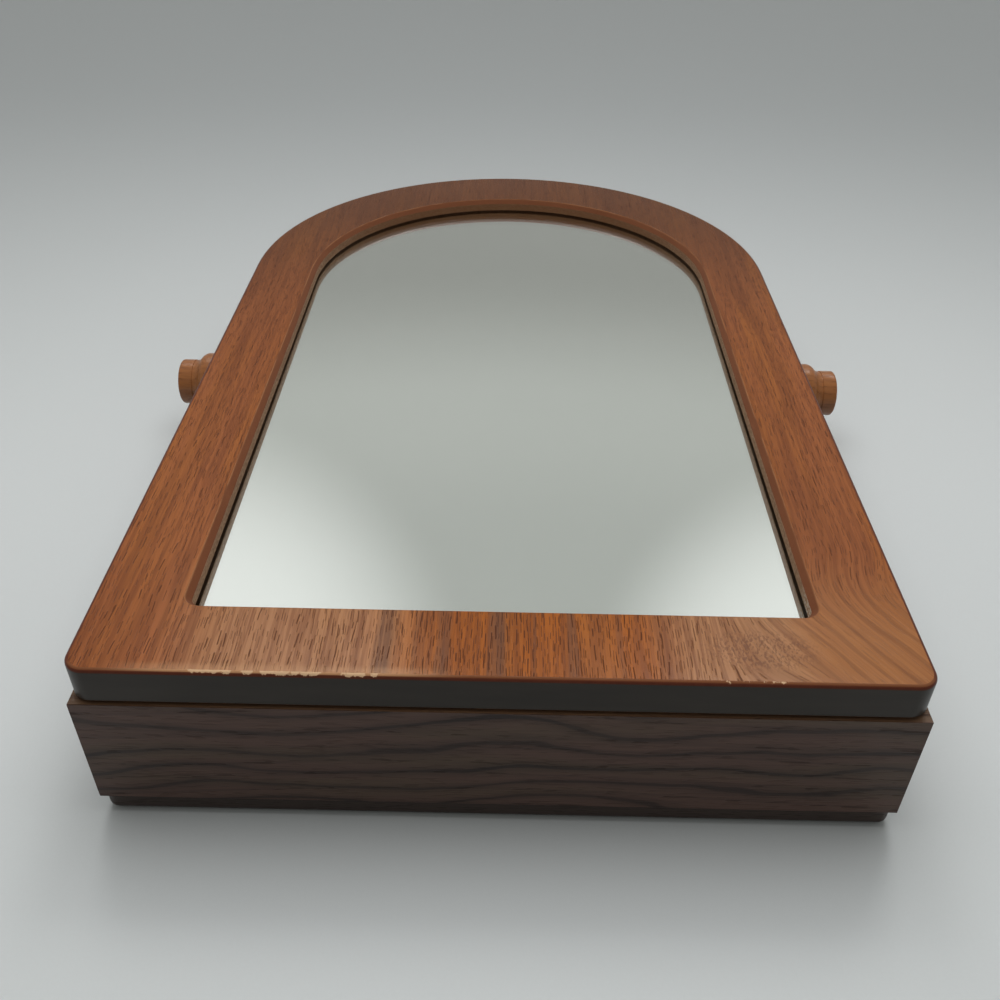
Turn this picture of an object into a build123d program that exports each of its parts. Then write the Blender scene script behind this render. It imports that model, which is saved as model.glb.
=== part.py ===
from build123d import *
from math import cos, radians, sin, sqrt
import os

# Mirror-fronted jewellery case, lying on its back. Millimetres. X runs across,
# Y from the straight end (the foot of the case when it stands) to the arched end, Z up from the back.

# Case carcass
case_width = 300.0
case_length = 477.2
back_thickness = 9.2
wall_height = 51.1
wall_thickness = 12.0
end_board_thickness = 12.0
end_rabbet_depth = 6.0
back_side_inset = 1.0
back_end_inset = 1.0
back_edge_round = 3.0
back_corner_radius = 4.0
splice_block_thickness = 5.0
splice_block_length = 40.0
splice_block_height = 38.0
finger_scoop_radius = 16.0
finger_scoop_height = 5.0
finger_scoop_depth = 5.0

# Mirror door
door_side_inset = 0.5
door_end_inset = 0.75
door_thickness = 15.5
door_gap = 1.2
door_corner_radius = 8.0
door_top_round = 1.75
door_bottom_break = 0.5
stile_width = 33.1
foot_rail_width = 32.5
arch_rail_width = 40.3
sight_corner_radius = 6.5
bevel_size = 2.5
lip_depth = 4.5
rebate_width = 6.0
glass_thickness = 3.0
backing_felt_thickness = 0.6
glass_clearance = 0.4

# Inside fittings
lining_thickness = 1.6
partition_height = 42.0
shelf_thickness = 6.0
shelf_groove_depth = 2.0
divider_thickness = 5.0
lower_bay_length = 75.0
cell_divider_offset = 48.0
pocket_rail_thickness = 3.0
pocket_rail_width = 30.0
pocket_rail_drop = 3.0
chain_rail_width = 25.0
ring_bay_width = 86.0
hook_rail_rise = 62.75
hook_rail_thickness = 7.0
hook_rail_height = 28.0
hook_count = 6
hook_wall_distance = 10.5
hook_divider_distance = 21.5
hook_wire_radius = 0.9
hook_bend_radius = 4.6
hook_curl = 190.0
hook_stem_length = 6.0
hook_flange_radius = 2.7
hook_flange_thickness = 0.8
hook_tail_length = 5.0
hook_height = 16.0
ring_card_thickness = 2.0
ring_roll_radius = 7.0
ring_roll_flat = 5.5
ring_roll_gap = 0.6

# Hinges
hinge_foot_distance = 88.25
hinge_arch_distance = 21.25
hinge_length = 38.0
knuckle_count = 5
knuckle_radius = 1.8
knuckle_end_gap = 0.3
hinge_pin_radius = 0.8
leaf_thickness = 0.9
case_leaf_reach = 7.3
door_leaf_reach = 10.5

# Catch
catch_foot_distance = 168.25
catch_length = 36.0
catch_depth = 9.0
catch_height = 10.0
magnet_length = 24.0
magnet_width = 5.0
magnet_height = 7.0
magnet_proud = 0.2
catch_edge_round = 1.0
strike_length = 30.0
strike_width = 9.0
bumper_radius = 3.5
bumper_foot_distance = 28.25
bumper_arch_distance = 17.25

# Screws
back_screw_shank = 1.6
back_screw_head = 3.4
back_screw_head_depth = 2.2
back_screw_length = 24.0
back_screw_recess = 0.4
back_screw_end_distance = 40.0
back_screw_edge_margin = 1.0
back_screw_arch_angles = (55.0, 125.0)

# Glass turn clips
clip_length = 16.0
clip_width = 9.0
clip_thickness = 0.9
clip_bearing = 6.5
clip_foot_distance = 68.75
clip_arch_distance = 29.35
clip_end_offset = 55.0
clip_arch_angles = (60.0, 120.0)

# Clamp knobs
knob_arch_distance = 65.5
knob_z = 34.0
knob_length = 31.9
knob_neck_radius = 9.5
knob_neck_length = 8.2
knob_neck_cove = 1.5
knob_collar_radius = 16.1
knob_collar_length = 7.4
knob_collar_break = 0.8
knob_shoulder_length = 8.2
knob_cap_radius = 12.4
knob_waist_radius = 12.0
knob_cap_round = 1.2
knob_dome = 0.5
washer_radius = 9.0
washer_thickness = 1.5
washer_bore_clearance = 0.35
stud_radius = 3.0
stud_depth_in_knob = 20.0
insert_radius = 4.6
insert_inner_gap = 0.5

# Clearances
glue_clearance = 0.05
running_clearance = 0.05
fitting_clearance = 0.2
body_gap = 0.3
stud_end_gap = 0.5
cut_overrun = 1.0

# Levels and lines shared by several pieces
case_end_y = -case_length / 2
half_width = case_width / 2
arch_y = case_length / 2 - half_width
inner_half_width = half_width - wall_thickness
inner_end_y = case_end_y + end_board_thickness
wall_top = back_thickness + wall_height
floor_z = back_thickness + lining_thickness
partition_top = floor_z + partition_height
door_bottom = wall_top + door_gap
door_top = door_bottom + door_thickness
door_half_width = half_width - door_side_inset
door_end_y = case_end_y + door_end_inset
sight_half_width = door_half_width - stile_width
sight_end_y = door_end_y + foot_rail_width
sight_arch_y = arch_y + stile_width - arch_rail_width
lip_half_width = sight_half_width - bevel_size
lip_end_y = sight_end_y + bevel_size
rebate_half_width = lip_half_width + rebate_width
rebate_end_y = lip_end_y - rebate_width
glass_top = door_top - bevel_size - lip_depth
backing_top = glass_top - glass_thickness
shelf_y = inner_end_y + lower_bay_length + shelf_thickness / 2
hook_rail_y = arch_y + hook_rail_rise
bay_divider_x = inner_half_width - ring_bay_width - divider_thickness / 2
pocket_rail_top = partition_top - pocket_rail_drop
hinge_axis_x = -door_half_width - body_gap - knuckle_radius
hinge_axis_z = wall_top + body_gap + knuckle_radius
hinge_ys = (inner_end_y + hinge_foot_distance, arch_y - hinge_arch_distance)
catch_y = inner_end_y + catch_foot_distance
knob_start = half_width + washer_thickness + body_gap
knob_end = knob_start + knob_length
knob_y = arch_y - knob_arch_distance
insert_length = wall_thickness - insert_inner_gap


def arch_plan(width_half, end_y, centre_y, corner=0.0):
    """Face with a straight end, two straight sides and a half-round top."""
    with BuildSketch() as plan:
        with BuildLine():
            Line((-width_half, centre_y), (-width_half, end_y))
            Line((-width_half, end_y), (width_half, end_y))
            Line((width_half, end_y), (width_half, centre_y))
            ThreePointArc(
                (width_half, centre_y),
                (0, centre_y + width_half),
                (-width_half, centre_y),
            )
        make_face()
        if corner > 0:
            corners = [v for v in plan.vertices() if abs(v.Y - end_y) < 1e-6]
            fillet(corners, corner)
    return plan.sketch


def slab(face, bottom, top):
    """Plan face made into a board between two levels."""
    return extrude(Pos(0, 0, bottom) * face, top - bottom)


def block(x, y, z):
    """Box between pairs of limits along each axis."""
    size = [high - low for low, high in (x, y, z)]
    middle = [(high + low) / 2 for low, high in (x, y, z)]
    return Pos(*middle) * Box(*size)


def inner_plan(clearance=0.0):
    """Plan of the space inside the case walls."""
    return arch_plan(inner_half_width - clearance, inner_end_y + clearance, arch_y)


def group(pieces):
    """Several separate pieces that share one node."""
    return Compound(children=list(pieces))


def countersunk_screw(shank, head, head_depth, length):
    """Screw that points down, its flat head level with Z = 0."""
    profile = Polyline(
        (0, 0), (head, 0), (shank, -head_depth), (shank, -length), (0, -length), close=True
    )
    return revolve(make_face(Plane.XZ * profile), Axis.Z)


def countersunk_hole(shank, head, head_depth, length, recess=0.0):
    """Space that such a screw needs, with its cone carried on above a recessed head."""
    slope = (head - shank) / head_depth
    mouth = head + glue_clearance + slope * recess
    bore = shank + glue_clearance
    profile = Polyline(
        (0, recess), (mouth, recess), (bore, -head_depth), (bore, -length), (0, -length), close=True
    )
    return revolve(make_face(Plane.XZ * profile), Axis.Z)


# Back and walls


def back_screw_spots():
    """Screw centres just inside the rounded edge of the back, under the walls."""
    edge = back_edge_round + back_screw_head + back_screw_edge_margin
    line = half_width - back_side_inset - edge
    side_ys = (inner_end_y + back_screw_end_distance, arch_y - back_screw_end_distance)
    spots = [(side * line, y) for side in (-1, 1) for y in side_ys]
    spots += [(x, case_end_y + back_end_inset + edge) for x in (-line / 2, line / 2)]
    for angle in back_screw_arch_angles:
        spots.append((line * cos(radians(angle)), arch_y + line * sin(radians(angle))))
    return spots


def back_screw_places():
    return [Pos(x, y, back_screw_recess) * Rot(180, 0, 0) for x, y in back_screw_spots()]


def back_screw_space():
    hole = countersunk_hole(
        back_screw_shank,
        back_screw_head,
        back_screw_head_depth,
        back_screw_length,
        back_screw_recess,
    )
    return [place * hole for place in back_screw_places()]


def back_board():
    plan = arch_plan(
        half_width - back_side_inset, case_end_y + back_end_inset, arch_y, back_corner_radius
    )
    board = slab(plan, 0, back_thickness)
    board = fillet(board.edges().group_by(Axis.Z)[0], back_edge_round)
    return board - back_screw_space()


def back_screws():
    screw = countersunk_screw(
        back_screw_shank, back_screw_head, back_screw_head_depth, back_screw_length
    )
    return group([place * screw for place in back_screw_places()])


def end_board():
    board = block(
        (-half_width, half_width), (case_end_y, inner_end_y), (back_thickness, wall_top)
    )
    seat_y = inner_end_y - end_rabbet_depth
    for side in (-1, 1):
        edges = sorted((side * (half_width + cut_overrun), side * inner_half_width))
        lengths = (seat_y, inner_end_y + cut_overrun)
        board -= block(edges, lengths, (0, wall_top + cut_overrun))
    return board - back_screw_space()


def insert_bore(radius, side):
    """Cylinder on the knob's axis through one side wall."""
    place = Pos(side * (half_width - wall_thickness / 2), knob_y, knob_z) * Rot(0, 90, 0)
    return place * Cylinder(radius, 2 * wall_thickness)


def hinge_places():
    return [Pos(hinge_axis_x, y, hinge_axis_z) for y in hinge_ys]


def shelf_groove(side):
    mouth = inner_half_width - cut_overrun
    edges = sorted((side * mouth, side * (inner_half_width + shelf_groove_depth)))
    reach = shelf_thickness / 2 + glue_clearance
    return block(edges, (shelf_y - reach, shelf_y + reach), (back_thickness, partition_top))


def side_board(side):
    edges = sorted((side * inner_half_width, side * half_width))
    board = block(edges, (inner_end_y - end_rabbet_depth, arch_y), (back_thickness, wall_top))
    board -= shelf_groove(side)
    board -= insert_bore(insert_radius + glue_clearance, side)
    return board - back_screw_space()


def left_side():
    return side_board(-1)


def right_side():
    scoop_x = half_width + (cut_overrun - finger_scoop_depth) / 2
    scoop = Pos(scoop_x, catch_y, wall_top + finger_scoop_radius - finger_scoop_height)
    scoop *= Rot(0, 90, 0)
    return side_board(1) - scoop * Cylinder(finger_scoop_radius, finger_scoop_depth + cut_overrun)


def arch_wall():
    ring = Pos(0, arch_y) * (Circle(half_width) - Circle(inner_half_width))
    ring &= Pos(0, arch_y + half_width) * Rectangle(3 * half_width, case_width)
    return slab(ring, back_thickness, wall_top) - back_screw_space()


def splice_blocks():
    """Blocks glued inside over the joints between the straight sides and the bent arch."""
    pieces = []
    for side in (-1, 1):
        edges = sorted((side * (inner_half_width - splice_block_thickness), side * half_width))
        lengths = (arch_y - splice_block_length / 2, arch_y + splice_block_length / 2)
        levels = (floor_z, floor_z + splice_block_height)
        pieces.append(block(edges, lengths, levels) & slab(inner_plan(), *levels))
    return group(pieces)


# Inside fittings


def back_lining():
    return slab(inner_plan(fitting_clearance), back_thickness, floor_z)


def shelf():
    reach = inner_half_width + shelf_groove_depth - glue_clearance
    lengths = (shelf_y - shelf_thickness / 2, shelf_y + shelf_thickness / 2)
    return block((-reach, reach), lengths, (floor_z, partition_top - glue_clearance))


def cell_dividers():
    """Short walls between the end board and the shelf, notched for the pocket rail."""
    pieces = []
    for x in (-cell_divider_offset, cell_divider_offset):
        across = (x - divider_thickness / 2, x + divider_thickness / 2)
        wall = block(across, (inner_end_y, shelf_y - shelf_thickness / 2), (floor_z, partition_top))
        notch = (inner_end_y - cut_overrun, inner_end_y + pocket_rail_width)
        levels = (pocket_rail_top - pocket_rail_thickness, partition_top + cut_overrun)
        wall -= block(across, notch, levels)
        pieces.append(wall)
    return group(pieces)


def rail_levels():
    return pocket_rail_top - pocket_rail_thickness, pocket_rail_top


def pocket_rail():
    """Strip across the lower cells that keeps things in when the case stands up."""
    return block(
        (-inner_half_width, inner_half_width),
        (inner_end_y, inner_end_y + pocket_rail_width),
        rail_levels(),
    )


def chain_rail():
    """Strip above the shelf that catches the ends of the chains."""
    foot = shelf_y + shelf_thickness / 2
    across = (-inner_half_width, bay_divider_x - divider_thickness / 2)
    return block(across, (foot, foot + chain_rail_width), rail_levels())


def bay_divider():
    across = (bay_divider_x - divider_thickness / 2, bay_divider_x + divider_thickness / 2)
    lengths = (shelf_y + shelf_thickness / 2, hook_rail_y - hook_rail_thickness / 2)
    return block(across, lengths, (floor_z, partition_top))


def hook_places():
    """Hook roots on the rail's lower face, spread from the curved wall to the bay divider."""
    face_y = hook_rail_y - hook_rail_thickness / 2
    wall_x = sqrt(inner_half_width**2 - (face_y - arch_y) ** 2)
    first = hook_wall_distance - wall_x
    last = bay_divider_x - divider_thickness / 2 - hook_divider_distance
    spacing = (last - first) / (hook_count - 1)
    return [Pos(first + spacing * i, face_y, floor_z + hook_height) for i in range(hook_count)]


def hook_rail():
    lengths = (hook_rail_y - hook_rail_thickness / 2, hook_rail_y + hook_rail_thickness / 2)
    levels = (floor_z, floor_z + hook_rail_height)
    rail = block((-half_width, half_width), lengths, levels) & slab(inner_plan(), *levels)
    pilot = Rot(90, 0, 0) * Cylinder(hook_wire_radius + glue_clearance, 2 * hook_tail_length)
    return rail - [place * pilot for place in hook_places()]


def cup_hook():
    """Bent wire hook with a round flange, its stem along -Y and its curl rising in +Z."""
    wire = Plane.XZ * RegularPolygon(hook_wire_radius, 6)
    stem = Pos(0, hook_tail_length, 0) * extrude(wire, hook_tail_length + hook_stem_length)
    curl_axis = Axis((0, -hook_stem_length, hook_bend_radius), (-1, 0, 0))
    curl = revolve(Pos(0, -hook_stem_length, 0) * wire, curl_axis, hook_curl)
    flange = extrude(Plane.XZ * Circle(hook_flange_radius), hook_flange_thickness)
    return stem + curl + flange


def necklace_hooks():
    hook = cup_hook()
    return group([place * hook for place in hook_places()])


ring_bay_x = (bay_divider_x + divider_thickness / 2, inner_half_width)
ring_roll_pitch = 2 * ring_roll_radius + ring_roll_gap
ring_start_y = shelf_y + shelf_thickness / 2 + ring_roll_gap
ring_room = arch_y - splice_block_length / 2 - ring_start_y
ring_roll_count = int(ring_room / ring_roll_pitch)


def ring_card():
    lengths = (ring_start_y, ring_start_y + ring_roll_pitch * ring_roll_count)
    across = (ring_bay_x[0] + fitting_clearance, ring_bay_x[1] - fitting_clearance)
    return block(across, lengths, (floor_z, floor_z + ring_card_thickness))


def ring_rolls():
    """Padded rolls that grip rings between them, glued side by side on the card."""
    length = ring_bay_x[1] - ring_bay_x[0] - 2 * fitting_clearance
    middle = (ring_bay_x[0] + ring_bay_x[1]) / 2
    base = floor_z + ring_card_thickness
    round_roll = Pos(0, 0, ring_roll_flat) * Rot(0, 90, 0) * Cylinder(ring_roll_radius, length)
    keep = block((-length, length), (-ring_roll_radius, ring_roll_radius), (0, 4 * ring_roll_radius))
    roll = round_roll & keep
    first = ring_start_y + ring_roll_pitch / 2
    return group(
        [Pos(middle, first + ring_roll_pitch * i, base) * roll for i in range(ring_roll_count)]
    )


# Hinges


def knuckle_spans(which):
    """Limits along Y of the knuckles of one leaf: 0 for the case, 1 for the door."""
    pitch = hinge_length / knuckle_count
    spans = []
    for i in range(knuckle_count):
        if i % 2 == which:
            start = -hinge_length / 2 + i * pitch
            low = start + (knuckle_end_gap / 2 if i > 0 else 0)
            high = start + pitch - (knuckle_end_gap / 2 if i < knuckle_count - 1 else 0)
            spans.append((low, high))
    return spans


def hinge_leaf(which, reach, bottom):
    """Leaf with its rolled knuckles, pin axis on Y through the origin."""
    root = knuckle_radius + body_gap
    levels = (bottom, bottom + leaf_thickness)
    leaf = block((root, reach), (-hinge_length / 2, hinge_length / 2), levels)
    for low, high in knuckle_spans(which):
        leaf += block((0, root), (low, high), levels)
        leaf += Pos(0, (low + high) / 2, 0) * Rot(90, 0, 0) * Cylinder(knuckle_radius, high - low)
    return leaf - Rot(90, 0, 0) * Cylinder(hinge_pin_radius + running_clearance, hinge_length)


case_leaf_bottom = -knuckle_radius - body_gap
door_leaf_bottom = door_bottom - hinge_axis_z


def hinge_case_leaves():
    leaf = hinge_leaf(0, case_leaf_reach, case_leaf_bottom)
    return group([place * leaf for place in hinge_places()])


def hinge_door_leaves():
    leaf = hinge_leaf(1, door_leaf_reach, door_leaf_bottom)
    return group([place * leaf for place in hinge_places()])


def hinge_pins():
    pin = Rot(90, 0, 0) * Cylinder(hinge_pin_radius, hinge_length)
    return group([place * pin for place in hinge_places()])


# Mirror door


def clip_places():
    """Clip roots on the edge of the glass rebate, X pointing inward over the backing."""
    places = []
    for y in (rebate_end_y + clip_foot_distance, sight_arch_y - clip_arch_distance):
        places.append(Pos(-rebate_half_width, y, door_bottom))
        places.append(Pos(rebate_half_width, y, door_bottom) * Rot(0, 0, 180))
    for x in (-clip_end_offset, clip_end_offset):
        places.append(Pos(x, rebate_end_y, door_bottom) * Rot(0, 0, 90))
    for angle in clip_arch_angles:
        x = rebate_half_width * cos(radians(angle))
        y = sight_arch_y + rebate_half_width * sin(radians(angle))
        places.append(Pos(x, y, door_bottom) * Rot(0, 0, angle + 180))
    return places


def inside_sight(edge):
    centre = edge.center()
    sight_top = sight_arch_y + sight_half_width
    return abs(centre.X) < sight_half_width and sight_end_y < centre.Y < sight_top


def mirror_frame():
    """Door frame: one routed board with a bevelled sight edge and a rebate for the glass."""
    plan = arch_plan(door_half_width, door_end_y, arch_y, door_corner_radius)
    frame = slab(plan, door_bottom, door_top)
    frame = fillet(frame.edges().group_by(Axis.Z)[-1], door_top_round)
    frame = chamfer(frame.edges().group_by(Axis.Z)[0], door_bottom_break)
    lip_corner = sight_corner_radius - bevel_size
    sight = arch_plan(lip_half_width, lip_end_y, sight_arch_y, lip_corner)
    frame -= slab(sight, door_bottom - cut_overrun, door_top + cut_overrun)
    sight_edges = [edge for edge in frame.edges().group_by(Axis.Z)[-1] if inside_sight(edge)]
    frame = chamfer(sight_edges, bevel_size)
    rebate = arch_plan(rebate_half_width, rebate_end_y, sight_arch_y, lip_corner)
    frame -= slab(rebate, door_bottom - cut_overrun, glass_top)
    for place in hinge_places():
        mortise = block(
            (0, door_leaf_reach + glue_clearance),
            (-hinge_length / 2 - glue_clearance, hinge_length / 2 + glue_clearance),
            (door_leaf_bottom - cut_overrun, door_leaf_bottom + leaf_thickness + glue_clearance),
        )
        frame -= place * mortise
    return frame


def glass_plan():
    corner = sight_corner_radius - bevel_size
    return arch_plan(
        rebate_half_width - glass_clearance, rebate_end_y + glass_clearance, sight_arch_y, corner
    )


def mirror_glass():
    return slab(glass_plan(), backing_top, glass_top)


def mirror_backing():
    return slab(glass_plan(), door_bottom + backing_felt_thickness, backing_top)


def backing_felt():
    return slab(glass_plan(), door_bottom, door_bottom + backing_felt_thickness)


def turn_clips():
    plate = Pos(clip_bearing - clip_length / 2, 0) * SlotOverall(clip_length, clip_width)
    clip = extrude(plate, -clip_thickness)
    return group([place * clip for place in clip_places()])


# Catch and bumpers


def magnet_space(clearance=0.0):
    x = inner_half_width - catch_depth / 2
    top = wall_top
    return block(
        (x - magnet_width / 2 - clearance, x + magnet_width / 2 + clearance),
        (catch_y - magnet_length / 2 - clearance, catch_y + magnet_length / 2 + clearance),
        (top - magnet_height, top),
    )


def catch_housing():
    body = block(
        (inner_half_width - catch_depth, inner_half_width),
        (catch_y - catch_length / 2, catch_y + catch_length / 2),
        (wall_top - magnet_proud - catch_height, wall_top - magnet_proud),
    )
    inner = body.faces().sort_by(Axis.X)[0]
    body = fillet(inner.edges(), catch_edge_round)
    return body - magnet_space(glue_clearance)


def catch_magnet():
    return magnet_space()


def strike_plate():
    x = inner_half_width - catch_depth / 2
    return block(
        (x - strike_width / 2, x + strike_width / 2),
        (catch_y - strike_length / 2, catch_y + strike_length / 2),
        (wall_top + body_gap, door_bottom),
    )


def rim_bumpers():
    height = door_gap - body_gap
    x = half_width - wall_thickness / 2
    bumper = Pos(0, 0, height / 2) * Cylinder(bumper_radius, height)
    ys = (inner_end_y + bumper_foot_distance, arch_y - bumper_arch_distance)
    return group([Pos(x, y, wall_top) * bumper for y in ys])


# Clamp knobs, each with its stud, washer and threaded insert


def along_side(side):
    """Turns a piece made along +X into one that leaves the left or right wall."""
    turn = Rot(0, 0, 0) if side > 0 else Rot(0, 0, 180)
    return Pos(0, knob_y, knob_z) * turn


def knob_profile():
    """Half section of the turned knob, from its neck to its domed cap."""
    neck_end = knob_start + knob_neck_length
    collar_end = neck_end + knob_collar_length
    shoulder_end = collar_end + knob_shoulder_length
    shoulder_mid = ((collar_end + shoulder_end) / 2, (knob_collar_radius + knob_waist_radius) / 2)
    cap_edge = knob_end - knob_dome
    rim_radius = knob_cap_radius - knob_cap_round
    dome_radius = (rim_radius**2 + knob_dome**2) / (2 * knob_dome)
    with BuildLine() as line:
        Polyline(
            (knob_start, 0),
            (knob_start, knob_neck_radius),
            (neck_end - knob_neck_cove, knob_neck_radius),
        )
        TangentArc(
            (neck_end - knob_neck_cove, knob_neck_radius),
            (neck_end, knob_neck_radius + knob_neck_cove),
            tangent=(1, 0),
        )
        Polyline(
            (neck_end, knob_neck_radius + knob_neck_cove),
            (neck_end, knob_collar_radius - knob_collar_break),
            (neck_end + knob_collar_break, knob_collar_radius),
            (collar_end, knob_collar_radius),
        )
        convex = TangentArc((collar_end, knob_collar_radius), shoulder_mid, tangent=(1, 0))
        concave = TangentArc(shoulder_mid, (shoulder_end, knob_waist_radius), tangent=convex % 1)
        Polyline(
            concave @ 1,
            (shoulder_end, knob_cap_radius),
            (cap_edge - knob_cap_round, knob_cap_radius),
        )
        TangentArc(
            (cap_edge - knob_cap_round, knob_cap_radius), (cap_edge, rim_radius), tangent=(1, 0)
        )
        RadiusArc((cap_edge, rim_radius), (knob_end, 0), dome_radius)
        Line((knob_end, 0), (knob_start, 0))
    return line.line


def stud_limits():
    inner = half_width - insert_length + stud_end_gap
    return inner, knob_start + stud_depth_in_knob


def x_cylinder(radius, low, high):
    return Pos((low + high) / 2, 0, 0) * Rot(0, 90, 0) * Cylinder(radius, high - low)


def clamp_knob(side):
    turned = revolve(make_face(knob_profile()), Axis.X)
    socket = x_cylinder(stud_radius, knob_start - cut_overrun, stud_limits()[1])
    return along_side(side) * (turned - socket)


def clamp_stud(side):
    return along_side(side) * x_cylinder(stud_radius, *stud_limits())


def clamp_washer(side):
    ring = x_cylinder(washer_radius, half_width, half_width + washer_thickness)
    bore = x_cylinder(stud_radius + washer_bore_clearance, 0, half_width + 2 * washer_thickness)
    return along_side(side) * (ring - bore)


def threaded_insert(side):
    barrel = x_cylinder(insert_radius, half_width - insert_length, half_width)
    bore = x_cylinder(stud_radius + running_clearance, 0, case_width)
    return along_side(side) * (barrel - bore)


nodes = {
    "back_board": back_board(),
    "back_screws": back_screws(),
    "end_board": end_board(),
    "left_side": left_side(),
    "right_side": right_side(),
    "arch_wall": arch_wall(),
    "splice_blocks": splice_blocks(),
    "back_lining": back_lining(),
    "shelf": shelf(),
    "cell_dividers": cell_dividers(),
    "pocket_rail": pocket_rail(),
    "chain_rail": chain_rail(),
    "bay_divider": bay_divider(),
    "hook_rail": hook_rail(),
    "necklace_hooks": necklace_hooks(),
    "ring_card": ring_card(),
    "ring_rolls": ring_rolls(),
    "hinge_case_leaves": hinge_case_leaves(),
    "hinge_door_leaves": hinge_door_leaves(),
    "hinge_pins": hinge_pins(),
    "mirror_frame": mirror_frame(),
    "mirror_glass": mirror_glass(),
    "mirror_backing": mirror_backing(),
    "backing_felt": backing_felt(),
    "turn_clips": turn_clips(),
    "catch_housing": catch_housing(),
    "catch_magnet": catch_magnet(),
    "strike_plate": strike_plate(),
    "rim_bumpers": rim_bumpers(),
    "left_knob": clamp_knob(-1),
    "right_knob": clamp_knob(1),
    "left_stud": clamp_stud(-1),
    "right_stud": clamp_stud(1),
    "left_washer": clamp_washer(-1),
    "right_washer": clamp_washer(1),
    "left_insert": threaded_insert(-1),
    "right_insert": threaded_insert(1),
}

os.makedirs("parts", exist_ok=True)
for name, piece in nodes.items():
    export_step(piece, f"parts/{name}.step")
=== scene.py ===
import bmesh
import bpy
import random
from math import atan2, cos, hypot, pi, radians, sin
from mathutils import Matrix, Vector


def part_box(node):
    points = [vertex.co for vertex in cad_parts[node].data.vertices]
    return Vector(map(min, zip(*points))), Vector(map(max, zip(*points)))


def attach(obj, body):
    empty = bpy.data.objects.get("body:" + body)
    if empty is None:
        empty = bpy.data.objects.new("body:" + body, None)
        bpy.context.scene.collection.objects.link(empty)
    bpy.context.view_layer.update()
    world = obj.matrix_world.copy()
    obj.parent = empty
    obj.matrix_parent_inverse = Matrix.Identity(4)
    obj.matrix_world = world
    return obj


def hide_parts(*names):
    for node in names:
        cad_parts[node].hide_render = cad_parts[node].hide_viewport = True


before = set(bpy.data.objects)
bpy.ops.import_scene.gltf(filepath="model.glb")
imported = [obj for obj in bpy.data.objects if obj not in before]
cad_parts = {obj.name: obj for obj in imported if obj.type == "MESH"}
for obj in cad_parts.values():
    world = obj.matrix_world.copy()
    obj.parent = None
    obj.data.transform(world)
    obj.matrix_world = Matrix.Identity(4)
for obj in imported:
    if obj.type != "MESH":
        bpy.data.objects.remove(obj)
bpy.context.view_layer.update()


# ------------------------
# Back board
# A board of walnut-stained oak with a half-round end, its lower edge rounded over. It
# closes the case from below and everything else is built up on it.

def sums(operation, swapped=False):
    """Method that adds the math node for one kind of sum with a value."""
    def method(value, other):
        pair = (other, value) if swapped else (value, other)
        return value.tree.math(operation, *pair)
    return method


class Value:
    """A result in a shader tree, which can be added, multiplied and so on like a number."""

    def __init__(self, tree, socket):
        self.tree = tree
        self.socket = socket

    __add__ = sums("ADD")
    __radd__ = sums("ADD", True)
    __sub__ = sums("SUBTRACT")
    __rsub__ = sums("SUBTRACT", True)
    __mul__ = sums("MULTIPLY")
    __truediv__ = sums("DIVIDE")
    __rtruediv__ = sums("DIVIDE", True)


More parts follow.
